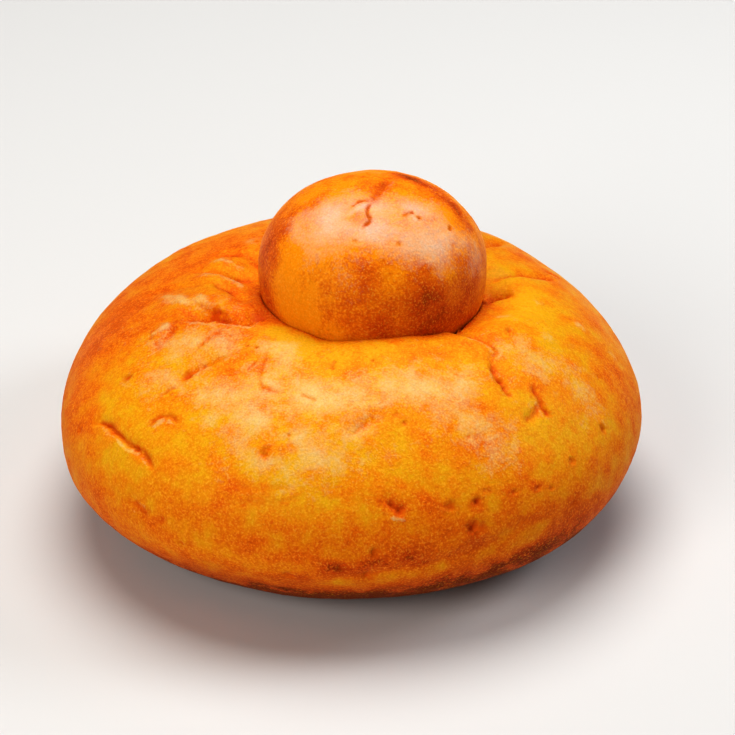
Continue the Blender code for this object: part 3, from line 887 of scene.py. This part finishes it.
def crust_material(name, colours, deep, light, patchiness, roughness):
    """Baked crust: a ramp read from the point values and the grain, with painted shade in its
    cracks and pits, pale dust with painted sheen, and a fine relief.
    """
    material = bpy.data.materials.new(name)
    material.use_nodes = True
    tree = material.node_tree
    shader = tree.nodes["Principled BSDF"]
    where = tree.nodes.new("ShaderNodeTexCoord").outputs["Object"]

    def output_of(kind, inputs, output=0, **settings):
        """The output of a new node, with its inputs linked to other outputs or set."""
        node = tree.nodes.new("ShaderNode" + kind)
        for setting, choice in settings.items():
            setattr(node, setting, choice)
        for socket, source in inputs.items():
            if isinstance(source, bpy.types.NodeSocket):
                tree.links.new(source, node.inputs[socket])
            else:
                node.inputs[socket].default_value = source
        return node.outputs[output]

    def grain(scale, detail, twist):
        sizes = {"Vector": where, "Scale": scale, "Detail": detail, "Distortion": twist}
        return output_of("TexNoise", sizes)

    def value(attribute):
        return output_of("Attribute", {}, "Fac", attribute_name=attribute)

    def joined(operation, *values):
        return output_of("Math", dict(enumerate(values)), operation=operation)

    def grained(level, weights, middle=GRAIN_MIDDLE):
        """The level with each grain's difference from the middle added by its weight."""
        for kind, weight in weights:
            shifted = joined("ADD", grains[kind], -middle)
            level = joined("MULTIPLY_ADD", shifted, weight, level)
        return level

    def banded(source, low, high, out_low, out_high):
        band = {"From Min": low, "From Max": high, "To Min": out_low, "To Max": out_high}
        return output_of("MapRange", {"Value": source, **band}, "Result")

    def shaded(base, share):
        """The colour, darker or lighter by the share around 1."""
        return output_of("VectorMath", {0: base, "Scale": share}, operation="SCALE")

    def blended(share, base, colour):
        """The colour laid over the base by the share."""
        layers = {"Factor": share, "A": base, "B": (*colour, 1.0)}
        return output_of("Mix", layers, "Result", data_type="RGBA")

    def ramped(level):
        ramp = tree.nodes.new("ShaderNodeValToRGB")
        stops = ramp.color_ramp.elements
        stops[0].position, stops[0].color = colours[0][0], (*colours[0][1], 1.0)
        stops[1].position, stops[1].color = colours[-1][0], (*colours[-1][1], 1.0)
        for position, colour in colours[1:-1]:
            stops.new(position).color = (*colour, 1.0)
        tree.links.new(level, ramp.inputs["Fac"])
        return ramp.outputs["Color"]

    grains = {kind: grain(*sizes) for kind, sizes in GRAINS.items()}
    fine, pores, blotch = grains["fine"], grains["pores"], grains["blotch"]

    level = grained(value("brown"), BROWN_GRAIN)
    colour = ramped(joined("MINIMUM", level, banded(value("brown"), *GRAIN_CEILING)))
    brown_specks = banded(value("brown"), *SPECKS_ON_BROWN)
    specks = joined("MULTIPLY", banded(pores, *SPECKS_IN_PORES), brown_specks)
    colour = blended(specks, colour, SPECK)
    weights = [(kind, fixed + patchy * patchiness) for kind, fixed, patchy in DUST_AND_SHEEN_GRAIN]
    # Pale dust and painted sheen, in patches, laid over the colour.
    dust_and_sheen = grained(value("pale"), weights)
    colour = blended(banded(dust_and_sheen, *DUST_AND_SHEEN_COVER), colour, light)
    colour = shaded(colour, banded(pores, *PORE_SHADE))
    colour = shaded(colour, banded(fine, *FINE_SHADE))
    # Painted shade in the cracks and pits laid over the colour.
    colour = blended(banded(value("dark"), *DARK_COVER), colour, deep)
    tree.links.new(colour, shader.inputs["Base Color"])

    uneven = banded(blotch, *ROUGH_BLOTCHES, roughness + SMOOTHER, roughness + ROUGHER)
    sides = banded(value("pale"), *ROUGH_SIDES)
    tree.links.new(joined("ADD", uneven, sides), shader.inputs["Roughness"])
    relief = grained(0.0, RELIEF_GRAIN, 0.0)
    bump = {"Strength": BUMP_STRENGTH, "Distance": BUMP_HEIGHT, "Height": relief}
    tree.links.new(output_of("Bump", bump, "Normal"), shader.inputs["Normal"])
    for socket, setting in GLOSS.items():
        shader.inputs[socket].default_value = setting
    return material


# --- Browning and dust all over ---
BUN_BROWN = 0.32
# The bun's right side, from here on over this run, is browner low down than its left: painted shade
# on the side away from the light.
RIGHT_SIDE = (-20.0 * MM, 60.0 * MM)
# Browning towards the base, partly real browning near the tray and partly painted shade low on the
# sides:
# (start, run down, browning, what the right side adds to the start and to the browning).
BUN_BROWN_BANDS = (
    (32.0 * MM, 18.0 * MM, 0.15, 0.0, 0.0),
    (17.0 * MM, 11.0 * MM, 0.36, 4.0 * MM, 0.02),
    (30.0 * MM, 16.0 * MM, 0.0, 0.0, 0.09),
    (8.0 * MM, 5.5 * MM, 0.45, 0.0, 0.0),
)
BALL_BROWN = 0.14
BALL_LOW = (52.0 * MM, 14.0 * MM)
BALL_LOW_BROWNING = 0.20
# Where there is less pale dust and painted sheen, (start, run), and how much less.
BUN_SIDES = (36.0 * MM, 14.0 * MM)
BUN_LEFT = (-12.0 * MM, 14.0 * MM)
BUN_FAR = (-6.0 * MM, 14.0 * MM)
BUN_LESS_DUST_AND_SHEEN = -0.32
BALL_SIDES = (52.0 * MM, 10.0 * MM)
BALL_LESS_DUST_AND_SHEEN = -0.12


def bun_brown(places):
    """How brown the bun's crust is before its stains: browner low on its sides and underneath,
    partly real browning and partly painted shade, and more so on its right side as painted shade.
    """
    right = above(places[:, 0], *RIGHT_SIDE)
    brown = np.full(len(places), BUN_BROWN)
    for start, run, browning, right_start, right_browning in BUN_BROWN_BANDS:
        low = below(places[:, 2], start + right_start * right, run)
        brown += (browning + right_browning * right) * low
    return brown


def bun_pale(places):
    """How much less pale dust and painted sheen the bun's sides and its far left carry than its
    crest.
    """
    sides = below(places[:, 2], *BUN_SIDES)
    far_left = below(places[:, 0], *BUN_LEFT) * above(places[:, 1], *BUN_FAR)
    return BUN_LESS_DUST_AND_SHEEN * np.maximum(sides, far_left)


def ball_brown(places):
    """How brown the ball's crust is before its stains: browner towards its seat."""
    return BALL_BROWN + BALL_LOW_BROWNING * below(places[:, 2], *BALL_LOW)


def ball_pale(places):
    """How much less pale dust and painted sheen the ball's sides carry than its top."""
    return BALL_LESS_DUST_AND_SHEEN * below(places[:, 2], *BALL_SIDES)


# --- The pieces ---
def some_way(rng, steepest=1.0):
    """A direction by chance, at most so steep."""
    return Vector((rng.uniform(-1, 1), rng.uniform(-1, 1), rng.uniform(-steepest, steepest)))


def scattered(rng, places, tree, count, allowed):
    """Short seeded routes on the part of the surface that the photograph doesn't show."""
    routes = []
    candidates = np.nonzero(allowed)[0]
    for _ in range(count):
        place = Vector(places[candidates[rng.randrange(len(candidates))]])
        heading = some_way(rng, FIRST_STEEPEST).normalized()
        route = [place]
        for _ in range(rng.randint(*STEP_COUNTS)):
            heading = (heading + STEP_TURN * some_way(rng)).normalized()
            step = heading * rng.uniform(*STEP_LENGTHS) * MM
            route.append(tree.find_nearest(route[-1] + step)[0])
        routes.append(np.array(route))
    return routes


def chance_marks(places, tree, plan, marked, stained):
    """Cracks and pits by chance where the surface may be marked, and stains where it may be."""
    seed, crack_plan, pit_plan, stain_plan = plan
    rng = random.Random(seed)

    def drawn(count, sizes, allowed):
        """Short routes, each with its sizes, drawn in turn where they have a range."""
        return [
            (route, *[rng.uniform(*size) if isinstance(size, tuple) else size for size in sizes])
            for route in scattered(rng, places, tree, count, allowed)
        ]

    cracks = drawn(*crack_plan, marked)
    pits = [
        (route[:1], radius, CHANCE_PIT_DEPTH * radius, rim, darkening)
        for route, radius, rim, darkening in drawn(*pit_plan, marked)
    ]
    stains = [(route[:1], *sizes) for route, *sizes in drawn(*stain_plan, stained)]
    return {"cracks": cracks, "pits": pits, "stains": stains}


def back_folds(tree, axis):
    """The folds round the back of the ball: a valley with a fine crack along it for each."""
    valleys, cracks = [], []
    for azimuth_in, azimuth_out, radius_in, radius_out, half_width, depth in BACK_FOLDS:
        hits = []
        for share in np.linspace(0.0, 1.0, FOLD_PLACES):
            turn = math.radians(azimuth_in + share * (azimuth_out - azimuth_in))
            radius = (radius_in + share * (radius_out - radius_in)) * MM
            x, y = axis.x + radius * math.cos(turn), axis.y + radius * math.sin(turn)
            hits.append(tree.ray_cast(Vector((x, y, FOLD_RAY_START)), Vector((0, 0, -1)))[0])
        route = np.array(hits)
        valleys.append((route, FOLD_FAR_WIDTH * half_width, FOLD_NEAR_WIDTH * half_width, depth))
        cracks.append((route, *FOLD_CRACK))
    return {"valleys": valleys, "cracks": cracks}


def build_bun(camera, material):
    """The bun. Gives back the middle of its outline, which becomes the frame's axis."""
    mesh = turned_bun()
    data = mesh_data("bun_form", mesh)
    places = dough_form(places_of(data))
    middle = (places.min(axis=0) + places.max(axis=0)) / 2
    middle[2] = 0.0
    places -= middle
    tree = surface_tree(data, places)

    marks = marks_on(tree, camera, BUN_MARKS)
    back = (places[:, 1] > BUN_BACK) & (places[:, 2] > BUN_BACK_FLOOR)
    for unseen in (
        back_folds(tree, BALL_CENTRE - Vector(middle)),
        chance_marks(places, tree, BUN_CHANCE, back, back),
    ):
        for kind, rows in unseen.items():
            marks[kind] += rows

    fine_marks = marks["cracks"] + marks["pits"]
    for room, widths in REFINED_REACH:
        reaches = [(row[0], (room + widths * row[1]) * MM) for row in fine_marks]
        refine(mesh, places, reaches)
        data = mesh_data("dough_bun", mesh)
        places = dough_form(places_of(data)) - middle
    mesh.free()
    move_to(data, places)

    crust = Crust(data, bun_brown, bun_pale)
    crust.press(marks)
    crust.roughen(places, *BUN_UNEVEN)
    # Painted shade along the seam with the ball.
    contact = ball_depth(places + middle - np.array(BALL_CENTRE)) - 1.0
    crust.brown += SEAM_SHADE * bell(contact, SEAM_WIDTH)
    crust.finish()
    move_to(data, seated(places_of(data) + middle, 0.0) - middle)
    add_piece("dough_bun", data, material, "bun")
    return middle


def build_ball(camera, material, middle):
    """The ball in the bun's dimple."""
    mesh = bmesh.new()
    bmesh.ops.create_icosphere(mesh, subdivisions=BALL_SUBDIVISIONS, radius=1.0)
    data = mesh_data("dough_ball", mesh)
    mesh.free()
    unit = places_of(data)
    azimuth = np.degrees(np.arctan2(unit[:, 1], unit[:, 0]))
    outline = waves(azimuth, BALL_WAVES) * (1.0 - np.abs(unit[:, 2]))
    drawn_in = sum(size for _, size, _ in BALL_WAVES)
    uneven = 1.0 + above(unit[:, 2], *BALL_ABOVE_SEAT) * (outline - drawn_in)
    radius = BALL_RADIUS * uneven
    places = unit * np.column_stack((radius, radius, np.full(len(unit), BALL_HALF_HEIGHT)))
    smooth = unit * np.array((BALL_RADIUS, BALL_RADIUS, BALL_HALF_HEIGHT))
    places /= ball_depth(smooth)[:, None]
    centre = np.array(BALL_CENTRE) - middle
    places += centre
    move_to(data, places)
    tree = surface_tree(data, places)

    back = places[:, 1] > centre[1] + BALL_BACK
    free = back & (places[:, 2] > BALL_BACK_FLOOR)
    crust = Crust(data, ball_brown, ball_pale)
    crust.press(marks_on(tree, camera, BALL_MARKS))
    crust.press(chance_marks(places, tree, BALL_CHANCE, free, back))
    crust.roughen(places, *BALL_UNEVEN)
    crust.finish()
    add_piece("dough_ball", data, material, "topknot")


# --- Floor and light ---
FLOOR_HALF_SIZE = 3.0
FLOOR_COLOUR = (0.68, 0.68, 0.68, 1.0)
FLOOR_ROUGHNESS = 0.9
LAMP_AIM = Vector((0.0, 0.0, 0.03))
# (name, place, width, power, colour)
LAMPS = (
    ("overhead", (0.0, 0.20, 0.80), 0.70, 7.0, (1.0, 0.98, 0.95)),
    ("front_left", (-0.45, -0.60, 0.45), 0.50, 4.2, (1.0, 0.97, 0.92)),
    ("right", (0.62, 0.10, 0.42), 0.30, 2.0, (0.92, 0.96, 1.0)),
)
WHITE = (1.0, 1.0, 1.0, 1.0)
SURROUND_STRENGTH = 0.08
GAMMA = 0.8


def plain_floor():
    mesh = bmesh.new()
    bmesh.ops.create_grid(mesh, x_segments=1, y_segments=1, size=FLOOR_HALF_SIZE)
    data = mesh_data("floor", mesh)
    mesh.free()
    material = bpy.data.materials.new("pale_floor")
    material.use_nodes = True
    shader = material.node_tree.nodes["Principled BSDF"]
    shader.inputs["Base Color"].default_value = FLOOR_COLOUR
    shader.inputs["Roughness"].default_value = FLOOR_ROUGHNESS
    data.materials.append(material)
    floor = new_object("floor", data)


def softbox(name, place, width, power, colour):
    """A round soft lamp that faces the brioche."""
    light = bpy.data.lights.new(name, "AREA")
    light.shape = "DISK"
    light.size = width
    light.energy = power
    light.color = colour
    lamp = new_object(name, light)
    lamp.location = place
    lamp.rotation_euler = (LAMP_AIM - Vector(place)).to_track_quat("-Z", "Y").to_euler()


def studio():
    world = bpy.data.worlds.new("studio")
    world.use_nodes = True
    background = world.node_tree.nodes["Background"]
    background.inputs["Color"].default_value = WHITE
    background.inputs["Strength"].default_value = SURROUND_STRENGTH
    bpy.context.scene.world = world
    for lamp in LAMPS:
        softbox(*lamp)
    view = bpy.context.scene.view_settings
    view.view_transform = "Standard"
    view.gamma = GAMMA
    view.exposure = 0.0


def main():
    camera = make_camera()
    middle = build_bun(camera, crust_material("bun_crust", *BUN_LOOK))
    build_ball(camera, crust_material("ball_crust", *BALL_LOOK), middle)
    plain_floor()
    studio()


main()
